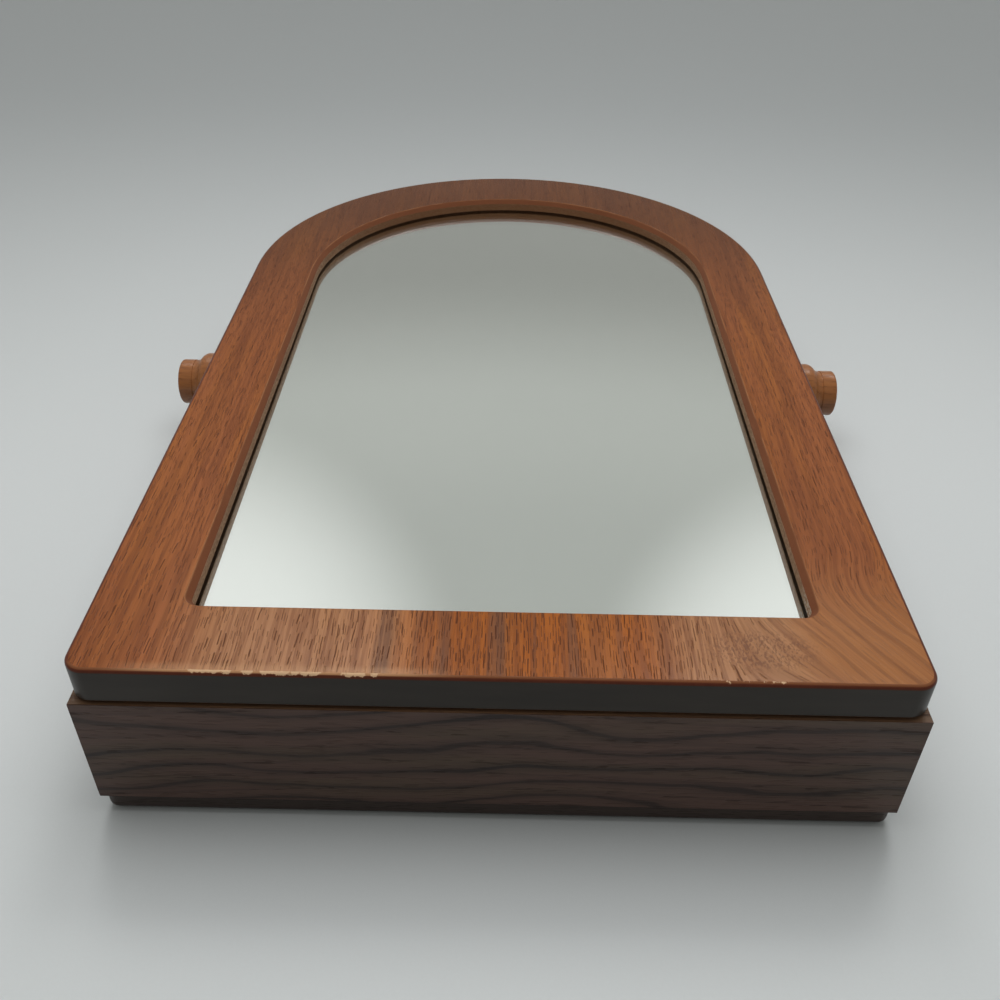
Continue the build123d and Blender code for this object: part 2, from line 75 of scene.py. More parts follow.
class Tree:
    """A shader tree while it is wired up: every call adds one node and hands back its result."""

    def __init__(self, tree):
        self.tree = tree

    def node(self, kind, inputs=None, **settings):
        node = self.tree.nodes.new(kind)
        for name, value in settings.items():
            setattr(node, name, value)
        for name, value in (inputs or {}).items():
            if isinstance(value, Value):
                self.tree.links.new(value.socket, node.inputs[name])
            elif value is not None:
                node.inputs[name].default_value = value
        return node

    def results(self, node):
        """All results of a node by name."""
        return {socket.name: Value(self, socket) for socket in node.outputs}

    def out(self, kind, inputs=None, result=0, **settings):
        """One result of a new node."""
        return Value(self, self.node(kind, inputs, **settings).outputs[result])

    def math(self, operation, first, second=None, clamp=False):
        inputs = {0: first, 1: second}
        return self.out("ShaderNodeMath", inputs, operation=operation, use_clamp=clamp)

    def root(self, value):
        return self.math("SQRT", value)

    def most(self, first, second):
        return self.math("MAXIMUM", first, second)

    def step(self, value, low, high):
        """0 below low and 1 above high, with a smooth rise between them; falls if low > high."""
        falls = not isinstance(low, (int, float)) or low > high
        inputs = {
            "Value": value,
            "From Min": high if falls else low,
            "From Max": low if falls else high,
            "To Min": 1.0 if falls else 0.0,
            "To Max": 0.0 if falls else 1.0,
        }
        return self.out("ShaderNodeMapRange", inputs, interpolation_type="SMOOTHSTEP")

    def between(self, value, low, high, soft):
        """1 between two limits, falling to 0 within soft outside them."""
        return self.step(value, low - soft, low) * self.step(value, high + soft, high)

    def split(self, vector):
        return list(self.results(self.node("ShaderNodeSeparateXYZ", {0: vector})).values())

    def join(self, x, y, z):
        return self.out("ShaderNodeCombineXYZ", {0: x, 1: y, 2: z})

    def here(self):
        """Place on the object, in metres, in the frame that all pieces share."""
        return self.out("ShaderNodeTexCoord", result="Object")

    def stretch(self, vector, factors):
        return self.out("ShaderNodeVectorMath", {0: vector, 1: factors}, operation="MULTIPLY")

    def noise(self, vector, scale, detail=2.0, roughness=0.5):
        inputs = {"Vector": vector, "Scale": scale, "Detail": detail, "Roughness": roughness}
        return self.out("ShaderNodeTexNoise", inputs)

    def streaks(self, place, scales, detail=2.0, roughness=0.5):
        """Noise with a scale of its own along each axis."""
        return self.noise(self.stretch(place, scales), 1.0, detail, roughness)

    def chance(self, vector):
        """Three even random values that are the same all over one whole-number cell."""
        return self.split(self.out("ShaderNodeTexWhiteNoise", {"Vector": vector}, "Color"))

    def blend(self, factor, first, second):
        inputs = {0: factor, 6: first, 7: second}
        return self.out("ShaderNodeMix", inputs, 2, data_type="RGBA")

    def coats(self, base, *coats):
        """A base colour with coats of other colours over it, each given as its share and colour."""
        for share, paint in coats:
            base = self.blend(share, base, paint)
        return base

    def bump(self, height, depth, strength=1.0):
        inputs = {"Height": height, "Distance": depth, "Strength": strength}
        return self.out("ShaderNodeBump", inputs)


def colour(red, green, blue):
    """Linear colour from the three values of a paint card, 0 to 255."""
    parts = [value / 255 for value in (red, green, blue)]
    linear = [p / 12.92 if p <= 0.04045 else ((p + 0.055) / 1.055) ** 2.4 for p in parts]
    return (*linear, 1.0)


def material(name, paint, **sockets):
    """Material whose paint function gives what varies; even values go on the shader itself."""
    made = bpy.data.materials.new(name)
    made.use_nodes = True
    made.node_tree.nodes.clear()
    tree = Tree(made.node_tree)
    inputs = {key.replace("_", " "): value for key, value in sockets.items()}
    inputs.update(paint(tree))
    shader = tree.out("ShaderNodeBsdfPrincipled", inputs)
    tree.node("ShaderNodeOutputMaterial", {"Surface": shader})
    return made


def new_group(name, inputs, outputs):
    """Tree and inputs of a new shader group: Place is a vector, all other sockets are numbers."""
    group = bpy.data.node_groups.new(name, "ShaderNodeTree")
    for key, value in inputs.items():
        kind = "NodeSocketVector" if key == "Place" else "NodeSocketFloat"
        socket = group.interface.new_socket(key, in_out="INPUT", socket_type=kind)
        if value is not None:
            socket.default_value = value
    for key in outputs:
        group.interface.new_socket(key, in_out="OUTPUT", socket_type="NodeSocketFloat")
    tree = Tree(group)
    return tree, tree.results(tree.node("NodeGroupInput"))


def place_group(tree, group, **sockets):
    """Results of a shader group placed in a material with that material's own values."""
    inputs = {key.replace("_", " ").title(): value for key, value in sockets.items()}
    return tree.results(tree.node("ShaderNodeGroup", inputs, node_tree=group))


def make_oak_figure():
    """Growth rings, open pores, broad tone and fibre of an oak board, in the board's own space."""
    inputs = {
        "Place": None, "Ring Width": 0.004, "Pith Side": 0.0, "Pith Depth": 0.05, "Slope": 0.0,
        "Pore Length": 0.004, "Pore Width": 0.0005, "Wander": 0.006, "Early Share": 0.5,
    }
    tree, given = new_group("oak_figure", inputs, ("Rings", "Pores", "Tone", "Fibre"))
    along, across, deep = tree.split(given["Place"])
    slow = tree.streaks(given["Place"], (3.0, 14.0, 14.0), 2.0)
    quick = tree.streaks(given["Place"], (16.0, 70.0, 70.0), 2.0)
    wander = (slow - 0.5) * (given["Wander"] * 2.0)
    ripple = (quick - 0.5) * (given["Wander"] * 0.35)
    side = across - given["Pith Side"] + (wander + ripple)
    depth = deep - given["Pith Depth"] + along * given["Slope"]
    squares = side * side + depth * depth
    radius = tree.root(squares)
    drift = tree.noise(tree.join(radius, 0.0, 0.0), 60.0, 1.0)
    phase = radius / given["Ring Width"] + drift * 2.0
    part = tree.math("FRACT", phase)
    early = tree.most(tree.step(part, given["Early Share"], 0.03), tree.step(part, 0.9, 1.0))
    long_way = 0.55 / given["Pore Length"]
    wide_way = 0.55 / given["Pore Width"]
    pore_space = tree.stretch(given["Place"], tree.join(long_way, wide_way, wide_way))
    pits = tree.noise(pore_space, 1.0, 1.0, 0.3)
    open_pores = tree.step(pits, 0.55, 0.64)
    few = early * 0.55 + 0.45
    tone = tree.streaks(given["Place"], (2.2, 17.0, 17.0), 3.0)
    fibre = tree.streaks(given["Place"], (55.0, 1500.0, 1500.0), 2.0)
    pores = open_pores * few
    tree.node("NodeGroupOutput", {"Rings": early, "Pores": pores, "Tone": tone, "Fibre": fibre})
    return tree.tree


def make_pore_dashes():
    """Open pores of flat-cut oak: short dashes in rows along the grain, none quite in line."""
    inputs = dict.fromkeys(("Place", "Pitch", "Length", "Width", "Share"))
    tree, given = new_group("pore_dashes", inputs, ("Dashes",))
    along, across, _ = tree.split(given["Place"])
    sway = tree.streaks(given["Place"], (30.0, 90.0, 90.0), 2.0)
    shifted = across / given["Pitch"] + sway * 2.4
    row = tree.math("FLOOR", shifted)
    start = tree.chance(tree.join(row, 0.5, 0.5))[0]
    run = along / given["Length"] + start * 9.0
    turn = tree.math("FLOOR", run)
    luck = tree.chance(tree.join(row, turn, 3.5))
    aside = tree.math("FRACT", shifted) + (luck[1] * -0.5 - 0.25)
    edge = tree.math("ABSOLUTE", aside) - given["Width"] * 0.5
    narrow = tree.step(edge, 0.07, -0.05)
    middle = tree.math("ABSOLUTE", tree.math("FRACT", run) - 0.5)
    reach = luck[2] * 0.26 + 0.16
    short = tree.step(middle - reach, 0.06, -0.04)
    shown = tree.step(luck[0] - given["Share"], 0.03, -0.03)
    tree.node("NodeGroupOutput", {"Dashes": narrow * short * shown})
    return tree.tree


oak_figure = make_oak_figure()
pore_dashes = make_pore_dashes()


def figure(tree, place, **growth):
    """The oak figure of one board."""
    return place_group(tree, oak_figure, place=place, **growth)


def dashes(tree, place, pitch, length, width, share):
    """Pore dashes in rows one pitch apart, of which about this share is left empty."""
    sizes = {"pitch": pitch, "length": length, "width": width / pitch, "share": share}
    return place_group(tree, pore_dashes, place=place, **sizes)["Dashes"]


back_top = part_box("back_board")[1][2]
case_half_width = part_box("end_board")[1][0]
arch_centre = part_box("arch_wall")[1][1] - case_half_width


def board_place(tree, along):
    """Place with X along the grain, Y across the board's face and Z into the board."""
    x, y, z = tree.split(tree.here())
    if along == "x":
        return tree.join(x, z, y)
    if along == "y":
        return tree.join(y, z, x)
    if along == "flat":
        return tree.join(y, x, z)
    up = y - arch_centre
    angle = tree.math("ARCTAN2", x, up)
    radius = tree.root(x * x + up * up)
    return tree.join(angle * case_half_width, z, radius)


WALNUT_LIGHT = colour(97, 76, 66)
WALNUT_DARK = colour(50, 37, 32)
WALNUT_PORE = colour(30, 22, 19)


def walnut_oak(
    name, along, light=WALNUT_LIGHT, dark=WALNUT_DARK, bands=0.0, roll=4.2, joint=0.0, **growth
):
    """Oak under a dark walnut stain, which collects in the porous part of each ring.

    Bands is the spacing of broad dark lines and roll how far they wave, and a painted
    shadow line, where the wall above overhangs, runs just below the height of a joint."""

    def paint(tree):
        place = board_place(tree, along)
        oak = figure(tree, place, **growth)
        broad = tree.blend(tree.step(oak["Tone"], 0.35, 0.7), light, tuple(0.78 * c for c in light))
        ringed = tree.blend(oak["Rings"] * (0.25 if bands else 0.85), broad, dark)
        if bands:
            swell = tree.streaks(place, (8.0, 16.0, 16.0), 1.0)
            ripple = tree.streaks(place, (30.0, 90.0, 90.0), 2.0)
            turns = tree.split(place)[1] / bands + swell * roll
            wave = tree.math("SINE", (turns + ripple * 0.5) * (2 * pi))
            olive = tree.streaks(place, (9.0, 70.0, 70.0), 2.0)
            faded = 0.35 + tree.streaks(place, (11.0, 40.0, 40.0), 2.0)
            lines = tree.most(tree.step(wave, 0.66, 1.0), tree.step(wave, -0.9, 1.0) * 0.4)
            ringed = tree.coats(
                ringed,
                (tree.step(olive, 0.4, 0.65) * 0.6, colour(88, 72, 56)),
                (lines * faded, dark),
            )
        fibre = tree.step(oak["Fibre"], 0.35, 0.75)
        streaked = tree.blend(fibre * (0.2 if bands else 0.35), ringed, dark)
        pored = tree.blend(oak["Pores"] * (0.35 if bands else 0.5), streaked, WALNUT_PORE)
        if joint:
            # Painted shadow: a near-black line just below the joint, where the wall above overhangs it.
            overhang_shadow = tree.step(tree.split(tree.here())[2], joint - 0.0018, joint - 0.0011)
            pored = tree.blend(overhang_shadow, pored, colour(16, 12, 10))
        height = oak["Pores"] * -1.0 + oak["Fibre"] * 0.3
        return {
            "Base Color": pored,
            "Roughness": 0.42 + oak["Pores"] * 0.25,
            "Normal": tree.bump(height, 0.00015, 0.6),
        }

    return material(name, paint, Specular_IOR_Level=0.3)


def finish_piece(name, work, materials, body, nodes=(), angle=28):
    """Turns a bmesh into a piece with smooth faces between its sharp edges."""
    for face in work.faces:
        face.smooth = True
    mesh = bpy.data.meshes.new(name)
    work.to_mesh(mesh)
    work.free()
    for each in materials:
        mesh.materials.append(each)
    mesh.set_sharp_from_angle(angle=radians(angle))
    piece = bpy.data.objects.new(name, mesh)
    bpy.context.scene.collection.objects.link(piece)
    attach(piece, body)
    if nodes:
        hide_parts(*nodes)
    return piece


def worked(
    node, materials, body="case", ease=0.0004, pick=None, move=None, refine=None, stands=True
):
    """A piece cut to its node's shape, with its sharp edges eased as sandpaper leaves them.

    Pick gives each face its material, move shifts each point, refine works on the whole
    mesh, and a piece that does not stand for its node is one more layer of it."""
    work = bmesh.new()
    work.from_mesh(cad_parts[node].data)
    bmesh.ops.remove_doubles(work, verts=work.verts, dist=1e-6)
    bmesh.ops.dissolve_limit(
        work, angle_limit=radians(0.05), verts=work.verts, edges=work.edges,
        use_dissolve_boundaries=False,
    )
    if refine:
        refine(work)
    if move:
        for vertex in work.verts:
            vertex.co = move(vertex.co)
    work.normal_update()
    for face in work.faces:
        face.material_index = pick(face) if pick else 0
    piece = finish_piece(node + "_worked", work, materials, body, (node,) if stands else ())
    if ease:
        bevel = piece.modifiers.new("eased_edges", "BEVEL")
        bevel.width = ease
        bevel.segments = 2
        bevel.limit_method = "ANGLE"
        bevel.angle_limit = radians(40)
        bevel.harden_normals = True
    return piece


back_face = walnut_oak("back_board_face", "flat", ring_width=0.006, pith_depth=-0.09, slope=0.05)
back_edges = [
    walnut_oak(
        "back_board_edge_" + along, along, colour(66, 51, 44), colour(38, 29, 25), joint=back_top,
        ring_width=0.004, pith_depth=-0.04,
    )
    for along in ("x", "y", "arc")
]


def back_finish(face):
    """Flat faces, then the veneered edge of the straight end, the sides and the arch."""
    if abs(face.normal.z) > 0.98:
        return 0
    if face.calc_center_median().y > arch_centre:
        return 3
    return 2 if abs(face.normal.x) > abs(face.normal.y) else 1


worked("back_board", (back_face, *back_edges), ease=0.0005, pick=back_finish)


# ------------------------
# Back screws
# Zinc-plated countersunk wood screws with a cross recess, driven up through the back into
# the walls, their heads a little below the surface.

def brushed(name, base, rough):
    """Plated metal with fine rubbing marks and slight stains."""

    def paint(tree):
        marks = tree.streaks(tree.here(), (900.0, 120.0, 900.0), 3.0)
        stain = tree.noise(tree.here(), 160.0, 3.0)
        duller = tuple(0.72 * c for c in base[:3]) + (1.0,)
        return {
            "Base Color": tree.blend(tree.step(stain, 0.45, 0.75), base, duller),
            "Roughness": rough + marks * 0.16,
            "Normal": tree.bump(marks, 0.00003, 0.4),
        }

    return material(name, paint, Metallic=1.0)


zinc = brushed("zinc_plate", colour(196, 198, 200), 0.22)


def lathe(profile, sides=32):
    """Closed solid turned about Z from (radius, height) points between its two ends."""
    work = bmesh.new()
    rings = []
    for radius, height in profile:
        if radius < 1e-7:
            rings.append([work.verts.new((0, 0, height))])
            continue
        turn = [2 * pi * i / sides for i in range(sides)]
        rings.append([work.verts.new((radius * cos(t), radius * sin(t), height)) for t in turn])
    for one, two in zip(rings, rings[1:]):
        for i in range(sides):
            j = (i + 1) % sides
            corners = [one[i % len(one)], one[j % len(one)], two[j % len(two)], two[i % len(two)]]
            work.faces.new(list(dict.fromkeys(corners)))
    bmesh.ops.recalc_face_normals(work, faces=work.faces)
    return work


def cut(solid, tool):
    """What a boolean leaves of one bmesh after another is taken from it."""
    pieces = []
    for name, work in (("stock", solid), ("tool", tool)):
        mesh = bpy.data.meshes.new(name)
        work.to_mesh(mesh)
        work.free()
        pieces.append(bpy.data.objects.new(name, mesh))
        bpy.context.scene.collection.objects.link(pieces[-1])
    boolean = pieces[0].modifiers.new("cut", "BOOLEAN")
    boolean.object = pieces[1]
    boolean.solver = "EXACT"
    boolean.use_self = True
    bpy.context.view_layer.update()
    ready = pieces[0].evaluated_get(bpy.context.evaluated_depsgraph_get())
    result = bmesh.new()
    result.from_mesh(ready.to_mesh())
    ready.to_mesh_clear()
    for piece in pieces:
        mesh = piece.data
        bpy.data.objects.remove(piece)
        bpy.data.meshes.remove(mesh)
    return result


def skin(work, rings):
    """Closes a bmesh over rings of as many points each, with a face at both ends."""
    for one, two in zip(rings, rings[1:]):
        for k in range(len(one)):
            j = (k + 1) % len(one)
            work.faces.new((one[k], one[j], two[j], two[k]))
    work.faces.new(rings[0])
    work.faces.new(rings[-1])
    bmesh.ops.recalc_face_normals(work, faces=work.faces)
    return work


def cross_tool(reach, width, depth, top):
    """Tapered cross of a screwdriver bit, point down, from just above the head."""
    outline = [(-reach, depth), (reach, depth), (reach * 0.3, -depth), (-reach * 0.3, -depth)]
    work = bmesh.new()
    for turn in (0, 90):
        spin = Matrix.Rotation(radians(turn), 3, "Z")
        skin(work, [
            [work.verts.new(spin @ Vector((side * width / 2, y, top + z))) for y, z in outline]
            for side in (-1, 1)
        ])
    return work


def wood_screw(head, shank, depth, length, dome=0.0):
    """Screw pointing down, its head this deep and with its rim at Z = 0."""
    profile = [(0, dome)]
    if dome:
        profile += [(head * 0.55, dome * 0.8), (head * 0.9, dome * 0.3)]
    profile += [(head, 0), (shank, -depth), (shank, -length), (0, -length)]
    return cut(lathe(profile), cross_tool(head * 0.62, head * 0.2, depth * 0.55, dome))


def pour(work, part):
    """Moves a part's mesh into the work."""
    mesh = bpy.data.meshes.new("part")
    part.to_mesh(mesh)
    part.free()
    work.from_mesh(mesh)
    bpy.data.meshes.remove(mesh)


def copies(name, source, places, materials, body, nodes=(), angle=35):
    """One object made of the same small piece at each of its places."""
    work = bmesh.new()
    for place in places:
        small = source.copy()
        small.transform(place)
        pour(work, small)
    return finish_piece(name, work, materials, body, nodes, angle)


def islands(node):
    """Lowest and highest corner of each separate solid in a node."""
    work = bmesh.new()
    work.from_mesh(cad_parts[node].data)
    bmesh.ops.remove_doubles(work, verts=work.verts, dist=1e-6)
    left = set(work.verts)
    boxes = []
    while left:
        front = [left.pop()]
        found = list(front)
        while front:
            near = [e.other_vert(v) for v in front for e in v.link_edges]
            front = [v for v in dict.fromkeys(near) if v in left]
            left.difference_update(front)
            found += front
        points = [v.co for v in found]
        low = Vector([min(p[i] for p in points) for i in range(3)])
        high = Vector([max(p[i] for p in points) for i in range(3)])
        boxes.append((low, high))
    work.free()
    return sorted(boxes, key=lambda box: tuple(round(c, 5) for c in box[0]))


turned_over = Matrix.Rotation(pi, 4, "X")
screw_boxes = islands("back_screws")
head_radius = (screw_boxes[0][1].x - screw_boxes[0][0].x) / 2
screw_length = screw_boxes[0][1].z - screw_boxes[0][0].z
copies(
    "driven_back_screws",
    wood_screw(head_radius, head_radius * 0.47, head_radius * 0.65, screw_length),
    [Matrix.Translation((low + high) / 2 - Vector((0, 0, screw_length / 2))) @ turned_over
     for low, high in screw_boxes],
    (zinc,), "case", ("back_screws",),
)


# ------------------------
# Case walls
# The end board covers the ends of the two straight sides, which sit in its rabbets, and a
# half-round wall of bent laminations closes the top. All of it is oak with a walnut stain.

end_oak = walnut_oak(
    "end_board_oak", "x", colour(100, 74, 64), colour(42, 29, 25), bands=0.0105, roll=6.0, ring_width=0.0075,
    pith_side=-0.05, pith_depth=-0.24, slope=0.2, wander=0.012, early_share=0.24,
)
side_oak = walnut_oak(
    "side_board_oak", "y", colour(98, 73, 63), colour(54, 39, 33), bands=0.0125, ring_width=0.005,
    pith_side=0.03, slope=0.05,
)
bent_oak = walnut_oak(
    "bent_wall_oak", "arc", colour(96, 72, 62), colour(53, 38, 32), bands=0.0115, ring_width=0.0045,
    pith_side=0.02, pith_depth=0.09,
)
TOP_LIGHT = colour(122, 92, 68)
TOP_DARK = colour(88, 61, 44)
tops = {
    along: walnut_oak(
        "wall_top_" + along, along, TOP_LIGHT, TOP_DARK, ring_width=0.003, pith_depth=0.05,
        pore_length=0.0030, pore_width=0.0003,
    )
    for along in ("x", "flat", "arc")
}


def upward(face):
    return 1 if face.normal.z > 0.9 else 0


worked("end_board", (end_oak, tops["x"]), ease=0.0006, pick=upward)
for node in ("left_side", "right_side"):
    worked(node, (side_oak, tops["flat"]), pick=upward)
worked("arch_wall", (bent_oak, tops["arc"]), pick=upward)


# ------------------------
# Splice blocks, shelf, dividers and rails
# Thin boards of the same oak under a lighter stain, planed, let into grooves or glued. They
# divide the inside when the case stands on its straight end.

def plain_pores(tree, place, length):
    """Pore dashes of plain boards, in a skewed space so that they show on every face."""
    along, across, deep = tree.split(place)
    skewed = tree.join(along, across + deep * 0.8, deep)
    return dashes(tree, skewed, pitch=0.0011, length=length, width=0.00024, share=0.45)


def inner_oak(name, along, **growth):
    light = colour(138, 94, 64)
    dark = colour(98, 62, 40)

    def paint(tree):
        place = board_place(tree, along)
        oak = figure(tree, place, **growth)
        ringed = tree.blend(oak["Rings"] * 0.55, light, dark)
        streaked = tree.coats(
            ringed,
            (tree.step(oak["Tone"], 0.4, 0.65) * 0.4, colour(118, 78, 50)),
            (oak["Fibre"] * 0.5, tuple(0.7 * c for c in light)),
        )
        pores = plain_pores(tree, place, 0.0062)
        return {
            "Base Color": tree.blend(pores * 0.55, streaked, colour(76, 46, 30)),
            "Roughness": 0.45 + pores * 0.2,
            "Normal": tree.bump(pores * -1.0, 0.0001, 0.5),
        }

    return material(name, paint, Specular_IOR_Level=0.4)


inner_across = inner_oak("inner_oak_across", "x", ring_width=0.004, pith_depth=0.06)
inner_along = inner_oak("inner_oak_along", "y", ring_width=0.004, pith_depth=0.09)
for node in ("shelf", "pocket_rail", "chain_rail", "hook_rail"):
    worked(node, (inner_across,), ease=0.0005)
for node in ("splice_blocks", "cell_dividers", "bay_divider"):
    worked(node, (inner_along,), ease=0.0005)


# ------------------------
# Back lining
# Card covered with short-pile burgundy velvet, cut to the inside of the walls and glued
# down on the back board.

def pile(name, base, fuzz, depth, sheen):
    """Short pile or felt: soft blotches where it lies over, and a fine nap."""

    def paint(tree):
        lie = tree.streaks(tree.here(), (30.0, 55.0, 30.0), 4.0, 0.6)
        nap = tree.noise(tree.here(), fuzz, 3.0, 0.7)
        worn = tuple(min(1.0, 1.6 * c) for c in base[:3]) + (1.0,)
        mixed = lie * 0.35 + nap * 0.65
        return {
            "Base Color": tree.blend(tree.step(mixed, 0.34, 0.66), base, worn),
            "Normal": tree.bump(nap, depth, 0.7),
        }

    return material(
        name, paint, Roughness=0.95, Specular_IOR_Level=0.15, Sheen_Weight=sheen, Sheen_Roughness=0.4
    )


velvet = pile("burgundy_velvet", colour(92, 22, 34), 1500.0, 0.0004, 0.22)
worked("back_lining", (velvet,), ease=0.0006)


# ------------------------
# Necklace hooks
# Brass wire bent up into open hooks and screwed into the lower face of their rail through
# a small turned flange. The wire's free end is rounded.

brass = brushed("satin_brass", colour(172, 138, 88), 0.4)


def wire(path, radius, sides=12):
    """Round wire along a path in the YZ plane, domed at its last point."""
    work = bmesh.new()
    rings = []
    spots = [Vector(p) for p in path]
    for i, spot in enumerate(spots):
        ahead = (spots[min(i + 1, len(spots) - 1)] - spots[max(i - 1, 0)]).normalized()
        rings.append((spot, ahead, radius))
    tip, ahead, _ = rings[-1]
    for turn in (30, 60, 80):
        out = radius * sin(radians(turn))
        rings.append((tip + ahead * out, ahead, radius * cos(radians(turn))))
    made = []
    for spot, ahead, size in rings:
        side = Vector((1, 0, 0))
        up = side.cross(ahead)
        turn = [2 * pi * k / sides for k in range(sides)]
        made.append([work.verts.new(spot + size * (cos(t) * side + sin(t) * up)) for t in turn])
    return skin(work, made)


hook_boxes = islands("necklace_hooks")
hook_low, hook_high = hook_boxes[0]
rail_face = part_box("hook_rail")[0][1]
hook_wire = 0.0009
hook_stem = 0.006
hook_tail = hook_high.y - rail_face
hook_bend = rail_face - hook_stem - hook_low.y - hook_wire
hook_root_z = hook_high.z - 2 * hook_bend - hook_wire
flange = (hook_high.x - hook_low.x) / 2
flange_rim, flange_top = 0.0004, 0.0008
hook_turns = [radians(8 * i) for i in range(24)]
hook_path = [(0, hook_tail, 0), (0, 0, 0), (0, -hook_stem, 0)]
hook_path += [
    (0, -hook_stem - hook_bend * sin(t), hook_bend * (1 - cos(t))) for t in hook_turns[1:]
]
hook = wire(hook_path, hook_wire)
flange_profile = [
    (0, 0), (flange, 0), (flange, flange_rim), (flange * 0.8, flange_top), (0, flange_top)
]
collar = lathe(flange_profile, 24)
collar.transform(Matrix.Rotation(radians(90), 4, "X"))
pour(hook, collar)
copies(
    "bent_necklace_hooks", hook,
    [Matrix.Translation(((low.x + high.x) / 2, rail_face, hook_root_z)) for low, high in hook_boxes],
    (brass,), "case", ("necklace_hooks",),
)


# ------------------------
# Ring card and rolls
# Foam rolls covered with velvet, glued side by side on a card so that each gap grips a
# ring. Their covers are gathered at both ends.

def paint_card(tree):
    speck = tree.noise(tree.here(), 900.0, 3.0)
    fade = tree.noise(tree.here(), 35.0, 2.0)
    tone = tree.blend(tree.step(speck, 0.4, 0.65), colour(120, 88, 60), colour(86, 62, 42))
    return {
        "Base Color": tree.blend(fade * 0.3, tone, colour(66, 46, 32)),
        "Normal": tree.bump(speck, 0.0001, 0.5),
    }


hardboard = material("brown_hardboard", paint_card, Roughness=0.75)
worked("ring_card", (hardboard,), ease=0.0002)


def ring_roll(length, radius, flat, rng):
    """Crowned roll along X with a flat base at Z = 0 and gathered ends."""
    work = bmesh.new()
    stations, sides = 33, 32
    folds = [rng.uniform(0, 2 * pi) for _ in range(4)]
    rings = []
    for i in range(stations):
        run = 2 * i / (stations - 1) - 1
        edge = 1 - abs(run)
        end = min(1.0, edge / 0.06)
        size = radius * (0.55 + 0.45 * (1 - (1 - end) ** 2) ** 0.5) * (1 - 0.02 * run * run)
        gather = 0.035 * (1 - end)
        ring = []
        for k in range(sides):
            t = 2 * pi * k / sides
            soft = 1 + gather * sin(9 * t + folds[0]) + 0.006 * sin(3 * t + folds[1] + 7 * run)
            y = size * soft * cos(t)
            z = flat + size * soft * sin(t)
            ring.append(work.verts.new((run * length / 2, y, max(0.0, z))))
        rings.append(ring)
    return skin(work, rings)


card_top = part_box("ring_card")[1][2]
roll_play = 0.00015
roll_rng = random.Random(5)
rolls = bmesh.new()
for low, high in islands("ring_rolls"):
    radius = (high.y - low.y) / 2 - roll_play
    roll = ring_roll(high.x - low.x, radius, high.z - low.z - radius, roll_rng)
    roll.transform(Matrix.Translation(((low.x + high.x) / 2, (low.y + high.y) / 2, card_top)))
    pour(rolls, roll)
padded_rolls = finish_piece(
    "velvet_ring_rolls", rolls, (velvet,), "case", ("ring_rolls",), 60
)


# ------------------------
# Catch and bumpers
# A brown plastic magnetic catch inside the free side of the case, its bar magnet facing a
# steel strike plate on the door, and felt dots that keep the door off the walls.

def paint_plastic(tree):
    orange_peel = tree.noise(tree.here(), 1400.0, 2.0)
    cloud = tree.noise(tree.here(), 90.0, 2.0)
    return {
        "Base Color": tree.blend(cloud, colour(74, 50, 36), colour(60, 40, 29)),
        "Roughness": 0.38 + orange_peel * 0.14,
        "Normal": tree.bump(orange_peel, 0.00004, 0.5),
    }


def paint_ferrite(tree):
    grit = tree.noise(tree.here(), 2200.0, 3.0)
    return {
        "Base Color": tree.blend(grit, colour(40, 40, 42), colour(70, 70, 72)),
        "Roughness": 0.45 + grit * 0.2,
        "Normal": tree.bump(grit, 0.00004, 0.5),
    }


worked("catch_housing", (material("catch_plastic", paint_plastic),), ease=0.0003)
worked("catch_magnet", (material("ferrite", paint_ferrite),), ease=0.0002)
worked("strike_plate", (zinc,), "mirror_door", ease=0.0002)
felt = pile("brown_felt", colour(58, 40, 30), 900.0, 0.0004, 0.03)
worked("rim_bumpers", (felt,), ease=0.0002)


# ------------------------
# Clamp knobs
# Knobs turned from a light hardwood and stained like the door, each on a steel stud that
# screws into a brass insert in the side wall, with a washer between.

def paint_turned(tree):
    place = tree.here()
    x = tree.split(place)[0]
    oak = figure(
        tree, place, ring_width=0.0035, pith_side=0.07, pith_depth=0.05,
        pore_length=0.003, pore_width=0.0004,
    )
    turning = tree.noise(tree.join(x, 0.0, 0.0), 2600.0, 1.0)
    ringed = tree.blend(oak["Rings"] * 0.35, colour(152, 96, 52), colour(118, 68, 36))
    pored = tree.blend(oak["Pores"] * 0.4, ringed, colour(84, 46, 26))
    return {
        "Base Color": tree.blend(turning * 0.15, pored, colour(96, 52, 30)),
        "Roughness": 0.3 + oak["Pores"] * 0.2,
        "Normal": tree.bump(turning + oak["Pores"] * -1.0, 0.00005, 0.5),
    }


turned_wood = material(
    "turned_wood", paint_turned, Specular_IOR_Level=0.3, Coat_Weight=0.1, Coat_Roughness=0.25
)
for side in ("left", "right"):
    clamp = side + "_clamp"
    worked(side + "_knob", (turned_wood,), clamp, ease=0.0004)
    worked(side + "_stud", (zinc,), clamp, ease=0)
    worked(side + "_washer", (zinc,), "case", ease=0.0002)
    worked(side + "_insert", (brass,), "case", ease=0)


# ------------------------
# Hinges
# Two brass butt hinges along one long side, each of two leaves rolled round a pin: one
# leaf is screwed to the top of the wall, the other is let into the door.

leaf_thickness = 0.0009
knuckle_radius = 0.0018
knuckle_gap = 0.0003
leaf_screw_head = 0.0017
leaf_screw_spread = 0.013
leaf_proud = 0.0001
hole_play = 0.00004
drill_overrun = 0.0002


